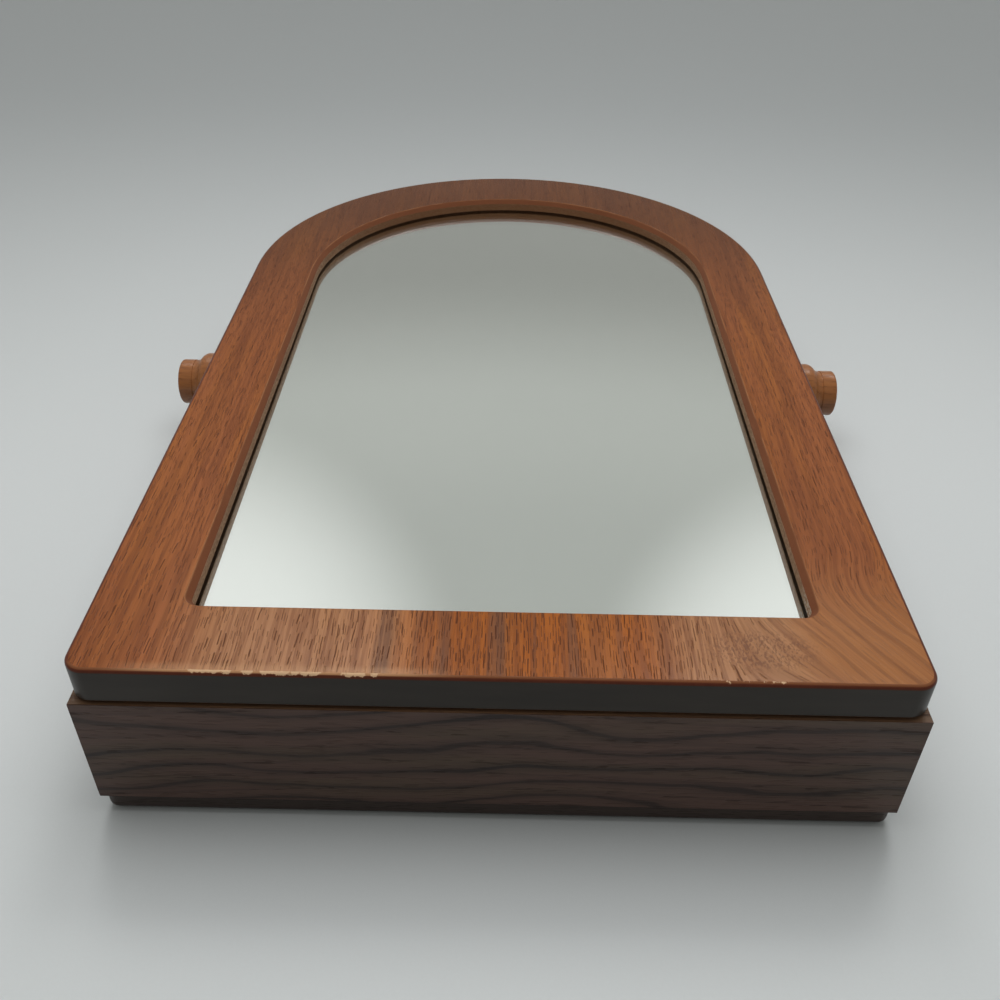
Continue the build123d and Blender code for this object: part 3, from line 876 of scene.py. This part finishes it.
def screwed_leaves(node, screws, body, faces_up):
    """Leaves with two small screws in each, on the side that the closed door hides."""
    places = []
    for low, high in islands(node):
        root = low.x + 2 * knuckle_radius + knuckle_gap
        spot = Vector(((root + high.x) / 2, (low.y + high.y) / 2, 0))
        spot.z = low.z + leaf_thickness if faces_up else (low.z + high.z) / 2 - leaf_thickness
        for side in (-1, 1):
            place = Matrix.Translation(spot + Vector((0, side * leaf_screw_spread, 0)))
            places.append(place if faces_up else place @ turned_over)

    def drill(work):
        drills = bmesh.new()
        wide = leaf_screw_head + hole_play
        foot = -leaf_thickness - drill_overrun
        for place in places:
            one = lathe([(0, drill_overrun), (wide, drill_overrun), (wide, foot), (0, foot)])
            one.transform(place)
            pour(drills, one)
        drilled = cut(work.copy(), drills)
        work.clear()
        pour(work, drilled)

    worked(node, (brass,), body, ease=0.00008, refine=drill)
    screw = wood_screw(leaf_screw_head, 0.0009, 0.0008, 0.007, leaf_proud)
    copies(screws, screw, places, (brass,), body)


screwed_leaves("hinge_case_leaves", "case_leaf_screws", "case", True)
screwed_leaves("hinge_door_leaves", "door_leaf_screws", "mirror_door", False)
worked("hinge_pins", (brass,), "case", ease=0)


# ------------------------
# Mirror door
# One oak-veneered board routed to a half-round top. The sight edge is bevelled, a rebate
# behind it holds the glass, and the outer edge is painted dark below its round-over.

door_low, door_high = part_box("mirror_frame")
door_half = door_high[0]
door_end = door_low[1]
door_top = door_high[2]
door_round = 0.00175
edge_break = 0.0005
stile_width = 0.0331
foot_rail_width = 0.0325
arch_rail_width = 0.0403
sight_half = door_half - stile_width
sight_end = door_end + foot_rail_width
sight_centre = arch_centre + stile_width - arch_rail_width


def make_edge_wear():
    """Mask of rubbed and chipped finish, ragged and thickest at the edge."""
    inputs = dict.fromkeys(("Place", "Distance", "Reach", "Amount"))
    tree, given = new_group("edge_wear", inputs, ("Wear",))
    ragged = tree.noise(given["Place"], 420.0, 4.0, 0.62)
    near = tree.math("SUBTRACT", 1.0, given["Distance"] / given["Reach"], clamp=True)
    level = near * given["Amount"] + ragged
    tree.node("NodeGroupOutput", {"Wear": tree.step(level, 0.98, 1.06)})
    return tree.tree


edge_wear = make_edge_wear()


def wear(tree, distance, reach, amount):
    """Where the finish is gone within this reach of an edge."""
    given = {"distance": distance, "reach": reach, "amount": amount}
    return place_group(tree, edge_wear, place=tree.here(), **given)["Wear"]


def inside_arch(tree, half, end, centre):
    """Distance in from the outline of a board with one straight and one half-round end."""
    x, y, _ = tree.split(tree.here())
    up = tree.most(y - centre, 0.0)
    out = tree.root(x * x + up * up)
    return tree.math("MINIMUM", half - out, y - end)


# Lengths along the straight end: from, to and how softly they end.
CHIPPED = (-0.104, -0.042, 0.003)
RUBBED = (0.078, 0.100, 0.006)
PALED = (-0.110, -0.040, 0.030)
# Where the veneer of the straight rail begins and is whole.
RAIL_LIMITS = (-0.165, -0.200)
# Grey streaks of the veneer across the straight rail: place, half width, strength.
GREY_STREAKS = (
    (-0.0405, 0.0040, 0.85), (-0.0200, 0.0032, 0.6), (-0.0012, 0.0034, 0.8), (0.0252, 0.0018, 0.65),
    (0.0120, 0.0008, 0.4), (-0.0300, 0.0009, 0.4), (0.0420, 0.0012, 0.35),
)


def front_edge(tree):
    """1 on the straight end of the board, 0 on its other sides."""
    return tree.step(tree.split(tree.here())[1], door_end + 0.006, door_end + 0.003)


def front_wear(tree, x, plain, chipped, rubbed_and_highlit):
    """How much finish is lost along the straight end: one chipped length and one rubbed length."""
    broken = tree.step(tree.noise(tree.join(x, 0.0, 0.0), 95.0, 2.0), 0.38, 0.50)
    chips = tree.between(x, *CHIPPED) * broken * chipped
    rubs = tree.between(x, *RUBBED) * rubbed_and_highlit
    return plain + (chips + rubs) * front_edge(tree)


def paint_veneer(tree):
    place = tree.here()
    x, y, z = tree.split(place)
    # The grain leaves the straight at one corner, where the sheet was cut near a branch.
    corner = tree.step(x, 0.070, 0.115) * tree.step(y, -0.165, -0.220)
    lean = corner * ((y + 0.20) * 0.62)
    across = x + lean
    grain = tree.join(y, across, z)
    oak = figure(
        tree, grain, ring_width=0.0085, pith_side=0.11, pith_depth=0.16,
        slope=0.035, pore_length=0.0026, pore_width=0.00033, wander=0.006,
    )
    rail = tree.step(y, *RAIL_LIMITS)
    middle = tree.between(across, -0.030, 0.048, 0.022) * rail
    amber = tree.streaks(grain, (7.0, 60.0, 60.0), 2.0)
    # Two stretches of the straight rail are paler: a painted sheen, as where the rail catches a bright
    # reflection.
    sheen_patches = tree.between(x, -0.092, -0.050, 0.035) + tree.between(x, 0.070, 0.094, 0.022)
    plain = 1.0 - corner * 0.6
    streak = tree.streaks(grain, (14.0, 330.0, 330.0), 3.0, 0.55)
    thread = tree.streaks(grain, (26.0, 1100.0, 1100.0), 2.0)
    bent = across + tree.streaks(grain, (25.0, 60.0, 60.0)) * 0.010
    branch = tree.math("SINE", bent * (2 * pi / 0.0088))
    swirl_x, swirl_y = (x - 0.091) * 42.0, (y + 0.222) * 85.0
    swirl = tree.step(swirl_x * swirl_x + swirl_y * swirl_y, 1.0, 0.15)
    curl = tree.streaks(place, (1300.0, 620.0, 620.0), 3.0, 0.6)
    base = tree.coats(
        colour(147, 86, 47),
        (tree.step(oak["Tone"], 0.35, 0.68), colour(128, 72, 36)),
        (middle, colour(150, 82, 24)),
        (tree.step(amber, 0.42, 0.62) * 0.45, colour(148, 87, 34)),
        (corner * 0.6, colour(160, 110, 68)),
        (sheen_patches * rail * 0.45, colour(176, 136, 100)),
        (tree.step(streak, 0.45, 0.64) * 0.45 * plain, colour(100, 52, 25)),
        (tree.step(thread, 0.44, 0.62) * 0.42 * plain, colour(98, 50, 23)),
        (tree.step(branch, 0.35, 1.0) * (corner * 0.42), colour(106, 64, 38)),
        (swirl * (tree.step(curl, 0.47, 0.6) * 0.6), colour(92, 55, 38)),
        # Darker toward the arch: painted shade, as the far end gets less light.
        (tree.step(y, -0.02, 0.20) * 0.68, colour(72, 40, 17)),
    )
    uneven = tree.streaks(place, (140.0, 30.0, 30.0)) - 0.5
    wavy = across + uneven * 0.004
    patches = tree.streaks(place, (60.0, 45.0, 45.0))
    patchy = 0.1 + (patches + thread * 0.6)
    for spot, half, strength in GREY_STREAKS:
        line = tree.between(wavy, spot - half * 0.5, spot + half * 0.5, half * 0.7)
        amount = line * rail * (patchy * (strength * 0.8))
        base = tree.blend(amount, base, colour(90, 62, 47))
    calm = plain * (1.0 - swirl * 0.6)
    fine = dashes(tree, grain, pitch=0.00095, length=0.0075, width=0.00027, share=middle * 0.2 + 0.52)
    coarse = dashes(tree, grain, pitch=0.0018, length=0.0098, width=0.00034, share=middle * 0.3 + 0.24)
    pores = tree.most(fine * 0.75, coarse) * calm
    pored = tree.blend(pores * (0.78 + middle * 0.1), base, colour(68, 32, 14))
    rim = inside_arch(tree, door_half, door_end, arch_centre)
    thin = tree.step(rim, 0.008, 0.0) * tree.between(x, *PALED)
    pored = tree.blend(thin * front_edge(tree) * 0.4, pored, colour(190, 146, 108))
    worn = wear(tree, rim, 0.0034, front_wear(tree, x, 0.22, 0.56, 0.26))
    height = pores * -1.0 + worn * -1.2
    return {
        "Base Color": tree.blend(worn * 0.85, pored, colour(204, 166, 130)),
        "Roughness": 0.27 + pores * 0.3 + worn * 0.3,
        "Normal": tree.bump(height, 0.00009, 0.55),
    }


def paint_round(tree):
    """Outer edge: stain over the round-over, dark paint below it."""
    x, _, z = tree.split(tree.here())
    cloud = tree.streaks(tree.here(), (35.0, 35.0, 200.0), 3.0)
    paint_dark = tree.blend(cloud, colour(60, 53, 47), colour(46, 41, 36))
    stained = tree.blend(tree.noise(tree.here(), 300.0, 2.0), colour(78, 34, 19), colour(98, 46, 26))
    upper = tree.step(z, door_top - door_round * 0.95, door_top - door_round * 0.7)
    # Along the straight end the top of the round-over is lighter: a painted highlight where it catches the
    # light, and paler still over the chipped stretch where the finish is worn.
    lit_brim = tree.step(z, door_top - door_round * 0.32, door_top - door_round * 0.12)
    pale = tree.blend(tree.between(x, *PALED), colour(116, 70, 42), colour(168, 124, 88))
    mixed = tree.blend(lit_brim * front_edge(tree), tree.blend(upper, paint_dark, stained), pale)
    close = door_top - z
    worn = wear(tree, close, 0.0022, front_wear(tree, x, 0.2, 0.5, 0.24))
    return {
        "Base Color": tree.blend(worn, mixed, colour(202, 166, 130)),
        "Roughness": 0.36 + worn * 0.3,
        "Normal": tree.bump(cloud + worn * -1.0, 0.0001, 0.5),
    }


def paint_bevel(tree):
    cloud = tree.noise(tree.here(), 60.0, 3.0)
    fine = tree.noise(tree.here(), 900.0, 2.0)
    base = tree.blend(cloud, colour(122, 74, 48), colour(104, 60, 37))
    z = tree.split(tree.here())[2]
    # A pale line along the top edge of the bevel: a painted highlight where the eased edge catches the
    # light.
    rubbed_and_highlit = tree.step(z, door_top - 0.0006, door_top - 0.0001) * tree.step(cloud, 0.3, 0.6)
    base = tree.blend(rubbed_and_highlit * 0.6, base, colour(176, 124, 84))
    return {
        "Base Color": tree.blend(fine * 0.25, base, colour(80, 44, 26)),
        "Roughness": 0.34 + fine * 0.12,
        "Normal": tree.bump(fine, 0.00005, 0.4),
    }


def paint_lip(tree):
    fuzz = tree.streaks(tree.here(), (500.0, 500.0, 1500.0), 3.0)
    cloud = tree.noise(tree.here(), 70.0, 2.0)
    base = tree.blend(tree.step(fuzz, 0.35, 0.65), colour(198, 162, 130), colour(158, 122, 94))
    x, y, _ = tree.split(tree.here())
    base = tree.blend(tree.step(y, 0.08, 0.18) * 0.8, base, colour(138, 92, 60))
    glue = tree.step(x, 0.09, 0.11) * tree.step(y, sight_end + 0.024, sight_end + 0.010)
    crumbs = tree.step(tree.noise(tree.here(), 800.0, 3.0), 0.45, 0.58)
    base = tree.blend(glue * crumbs * 0.9, base, colour(226, 214, 196))
    return {
        "Base Color": tree.blend(cloud * 0.4, base, colour(124, 90, 66)),
        "Roughness": 0.6 + fuzz * 0.2,
        "Normal": tree.bump(fuzz, 0.0001, 0.5),
    }


def paint_raw(tree):
    place = board_place(tree, "y")
    oak = figure(tree, place, ring_width=0.005, pith_depth=0.07)
    fuzz = tree.streaks(tree.here(), (700.0, 60.0, 700.0), 3.0)
    cloud = tree.noise(tree.here(), 25.0, 2.0)
    dark = colour(104, 72, 51)
    clouded = tree.coats(
        colour(132, 96, 70),
        (oak["Rings"] * 0.5, dark),
        (tree.step(fuzz, 0.4, 0.7) * 0.35, dark),
        (cloud * 0.35, colour(90, 61, 44)),
    )
    pores = plain_pores(tree, place, 0.0066)
    return {
        "Base Color": tree.blend(pores * 0.6, clouded, colour(66, 44, 32)),
        "Roughness": 0.55 + fuzz * 0.2,
        "Normal": tree.bump(pores * -1.0 + fuzz * 0.4, 0.0001, 0.5),
    }


door_materials = (
    material("door_veneer", paint_veneer, Specular_IOR_Level=0.12, Coat_Weight=0.03, Coat_Roughness=0.3),
    material("door_edge_paint", paint_round, Specular_IOR_Level=0.2, Coat_Weight=0.04, Coat_Roughness=0.3),
    material("sight_bevel", paint_bevel, Specular_IOR_Level=0.12),
    material("routed_lip", paint_lip, Specular_IOR_Level=0.2),
    material("door_underside", paint_raw),
)
VENEER, EDGE_PAINT, BEVEL, LIP, UNDERSIDE = range(5)
glass_low, glass_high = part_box("mirror_glass")
sight_margin = 0.003


def door_surface(face):
    """Which finish each face of the door frame has."""
    middle = face.calc_center_median()
    out = hypot(middle.x, max(0.0, middle.y - sight_centre))
    inside = out < sight_half + sight_margin and middle.y > sight_end - sight_margin
    if middle.z > door_top - 1e-5:
        return VENEER
    if middle.z < glass_high[2] + 1e-5:
        hidden = inside or abs(face.normal.z) > 0.5 or middle.z < door_low[2] + 0.001
        return UNDERSIDE if hidden else EDGE_PAINT
    if inside:
        return BEVEL if face.normal.z > 0.2 else LIP
    return EDGE_PAINT


def arch_turn(vertex):
    return atan2(vertex.co.y - arch_centre, vertex.co.x)


def arched_rim(work, height, radius):
    """Vertices of the half-round outline at one height, from right to left."""
    return sorted((
        v for v in work.verts
        if abs(v.co.z - height) < 2e-5 and v.co.y > arch_centre - 1e-5
        and abs(hypot(v.co.x, v.co.y - arch_centre) - radius) < 5e-5
    ), key=arch_turn)


def even_arch(work):
    """Lays the half-round outer edge again as one even skin between its upper and lower rims."""
    inner = door_half - door_round - 1e-4
    foot = door_low[2] + edge_break
    old = [
        face for face in work.faces
        if abs(face.normal.z) < 0.999 and all(
            v.co.y > arch_centre - 1e-5 and v.co.z > foot - 1e-5
            and hypot(v.co.x, v.co.y - arch_centre) > inner for v in face.verts
        )
    ]
    bmesh.ops.delete(work, geom=old, context="FACES")
    upper = arched_rim(work, door_top, door_half - door_round)
    lower = arched_rim(work, foot, door_half)
    rows = 11
    skin = []
    for turn in [arch_turn(vertex) for vertex in upper]:
        column = []
        for row in range(rows + 1):
            lean = radians(90 * row / rows)
            out = door_half - door_round + door_round * sin(lean)
            height = door_top - door_round + door_round * cos(lean)
            column.append(work.verts.new((out * cos(turn), arch_centre + out * sin(turn), height)))
        skin.append(column)
    for one, two in zip(skin, skin[1:]):
        for row in range(rows):
            work.faces.new((one[row], one[row + 1], two[row + 1], two[row]))
    band = [column[-1] for column in skin]
    i = j = 0
    while i < len(band) - 1 or j < len(lower) - 1:
        ahead = arch_turn(band[i + 1]) if i < len(band) - 1 else 9.0
        below = arch_turn(lower[j + 1]) if j < len(lower) - 1 else 9.0
        if abs(ahead - below) < 1e-3:
            work.faces.new((band[i], lower[j], lower[j + 1], band[i + 1]))
            i, j = i + 1, j + 1
        elif ahead < below:
            work.faces.new((band[i], lower[j], band[i + 1]))
            i += 1
        else:
            work.faces.new((band[i], lower[j], lower[j + 1]))
            j += 1
    bmesh.ops.remove_doubles(work, verts=work.verts, dist=2e-5)
    bmesh.ops.recalc_face_normals(work, faces=work.faces)


worked(
    "mirror_frame", door_materials, "mirror_door", ease=0.00035, pick=door_surface,
    refine=even_arch,
)


# ------------------------
# Mirror
# A pane of float glass with its silvering and paint on the back, lying on the rebate's
# edge behind the lip.

def paint_glass(tree):
    smear = tree.streaks(tree.here(), (9.0, 14.0, 9.0), 3.0)
    return {"Base Color": tree.blend(smear, (0.955, 0.968, 0.957, 1.0), (0.94, 0.955, 0.943, 1.0))}


def paint_silver(tree):
    smear = tree.streaks(tree.here(), (7.0, 11.0, 7.0), 3.0)
    return {
        "Base Color": tree.blend(smear, (0.93, 0.945, 0.935, 1.0), (0.90, 0.92, 0.905, 1.0)),
        "Roughness": tree.step(smear, 0.4, 0.8) * 0.04,
    }


silver_thickness = 0.00008
silver_gap = 0.00012
glass_middle = (glass_low[2] + glass_high[2]) / 2


def raise_back(point):
    lift = silver_gap + silver_thickness if point.z < glass_middle else 0.0
    return point + Vector((0, 0, lift))


def press_flat(point):
    lift = silver_thickness if point.z > glass_middle else 0.0
    return Vector((point.x, point.y, glass_low[2] + lift))


clear_glass = material("clear_glass", paint_glass, Roughness=0.0, IOR=1.5, Transmission_Weight=1.0)
silver = material("silvering", paint_silver, Metallic=1.0)
worked("mirror_glass", (clear_glass,), "mirror_door", ease=0.0003, move=raise_back)
silver_sheet = worked(
    "mirror_glass", (silver,), "mirror_door", ease=0, move=press_flat, stands=False
)
silver_sheet.name = "mirror_silvering"


# ------------------------
# Mirror backing, felt and turn clips
# Hardboard presses the glass against the lip, brown felt covers it, and zinc clips that
# turn on a screw hold both in the rebate.

worked("mirror_backing", (hardboard,), "mirror_door", ease=0.0002)
felt_sheet = worked("backing_felt", (felt,), "mirror_door", ease=0)
worked("turn_clips", (zinc,), "mirror_door", ease=0.00015)
clip_screw_offset = 0.0035
clip_screws = []
for low, high in islands("turn_clips"):
    middle = (low + high) / 2
    if middle.y < sight_end:
        outward = Vector((0, -1, 0))
    elif middle.y < sight_centre:
        outward = Vector((1 if middle.x > 0 else -1, 0, 0))
    else:
        outward = Vector((middle.x, middle.y - sight_centre, 0)).normalized()
    spot = middle + outward * clip_screw_offset
    spot.z = low.z
    clip_screws.append(Matrix.Translation(spot) @ turned_over)
pan_dome = [(0, 0.0012), (0.0014, 0.0011), (0.0022, 0.0007), (0.0025, 0)]
pan_shank = [(0.0011, 0), (0.0011, -0.008), (0, -0.008)]
pan_head = cut(lathe(pan_dome + pan_shank), cross_tool(0.0014, 0.0005, 0.0009, 0.0012))
copies("clip_screws", pan_head, clip_screws, (zinc,), "mirror_door")


# ------------------------
# Floor, light and camera
# A pale sweep of card, darker toward the back with painted shade, under a soft overhead
# light in a pale tent, seen from above the straight end.

def paint_floor(tree):
    broad = tree.noise(tree.here(), 1.3, 2.0)
    weave = tree.noise(tree.here(), 900.0, 2.0)
    # Darker toward the back: painted shade, as the back of the tent lies in shadow.
    shaded_back = tree.step(tree.split(tree.here())[1], -0.1, 0.75)
    pale = tree.blend(broad, colour(206, 209, 210), colour(199, 203, 204))
    pale = tree.blend(shaded_back, pale, colour(176, 180, 182))
    return {
        "Base Color": tree.blend(weave * 0.06, pale, colour(150, 152, 154)),
        "Normal": tree.bump(weave, 0.00005, 0.3),
    }


floor_reach = 4.0
floor_level = -0.0002
floor_mesh = bpy.data.meshes.new("floor")
corners = [
    (x * floor_reach, y * floor_reach, floor_level) for x, y in ((-1, -1), (1, -1), (1, 1), (-1, 1))
]
floor_mesh.from_pydata(corners, [], [(0, 1, 2, 3)])
floor_mesh.materials.append(material("pale_floor", paint_floor, Roughness=0.8))
floor = bpy.data.objects.new("floor", floor_mesh)
bpy.context.scene.collection.objects.link(floor)

softbox = bpy.data.lights.new("softbox", "AREA")
softbox.shape = "RECTANGLE"
softbox.size, softbox.size_y = 0.7, 0.5
softbox.energy = 3.3
softbox_object = bpy.data.objects.new("softbox", softbox)
softbox_object.location = (0.0, -0.05, 0.74)
softbox_object.visible_glossy = False
softbox_object.visible_transmission = False
bpy.context.scene.collection.objects.link(softbox_object)

world = bpy.data.worlds.new("pale_tent")
world.use_nodes = True
world.node_tree.nodes.clear()
bpy.context.scene.world = world
tent = Tree(world.node_tree)
direction = tent.out("ShaderNodeTexCoord", result="Generated")
height = tent.split(direction)[2]
TENT_LOW = (0.350, 0.350, 0.331, 1.0)
TENT_MIDDLE = (0.512, 0.517, 0.494, 1.0)
TENT_TOP = (0.468, 0.474, 0.453, 1.0)
sky = tent.coats(
    TENT_LOW, (tent.step(height, 0.41, 0.53), TENT_MIDDLE), (tent.step(height, 0.54, 0.64), TENT_TOP)
)
# Bright patches of the tent: turn from straight back, height, inner and outer reach, share, level.
BRIGHT_PATCHES = (
    (-26.0, 46.0, 4.0, 16.5, 0.85, 1.0), (27.5, 46.0, 4.0, 15.0, 0.85, 1.0),
    (-15.5, 53.0, 3.0, 8.5, 1.0, 8.0), (19.5, 53.5, 3.0, 10.0, 1.0, 8.0),
)
for turn, rise, inner, outer, share, level in BRIGHT_PATCHES:
    turn, rise = radians(turn), radians(rise)
    toward = (sin(turn) * cos(rise), cos(turn) * cos(rise), sin(rise))
    facing = tent.out("ShaderNodeVectorMath", {0: direction, 1: toward}, "Value", operation="DOT_PRODUCT")
    near = tent.step(facing, cos(radians(outer)), cos(radians(inner)))
    sky = tent.blend(near * share, sky, (level, level, 0.98 * level, 1.0))
behind = tent.step(tent.split(direction)[1], 0.25, -0.35)
shade = 0.42 + tent.step(height, 0.5, 0.2) * 0.4
rays = tent.results(tent.node("ShaderNodeLightPath"))
looked_at = tent.most(rays["Is Camera Ray"], rays["Is Glossy Ray"])
looked_at = tent.most(looked_at, rays["Is Transmission Ray"])
shade = shade * (1.0 + looked_at * -0.75)
sky = tent.blend(behind * shade, sky, (0.0, 0.0, 0.0, 1.0))
background = tent.out("ShaderNodeBackground", {"Color": sky, "Strength": 1.0})
tent.node("ShaderNodeOutputWorld", {"Surface": background})

camera_place = (0.0015, -0.47127, 0.3311)
camera = bpy.data.cameras.new("camera")
camera.sensor_width = 36.0
camera.lens = 36.39
pitch, yaw, roll = radians(37.38), radians(-0.52), radians(0.8)
ahead = Vector((sin(yaw) * cos(pitch), cos(yaw) * cos(pitch), -sin(pitch)))
level = Vector((cos(yaw), -sin(yaw), 0))
upright = level.cross(ahead)
across = cos(roll) * level + sin(roll) * upright
above = -sin(roll) * level + cos(roll) * upright
camera_object = bpy.data.objects.new("camera", camera)
turned = Matrix((across, above, -ahead)).transposed().to_4x4()
camera_object.matrix_world = Matrix.Translation(camera_place) @ turned
bpy.context.scene.collection.objects.link(camera_object)
bpy.context.scene.camera = camera_object
bpy.context.scene.view_settings.view_transform = "Standard"
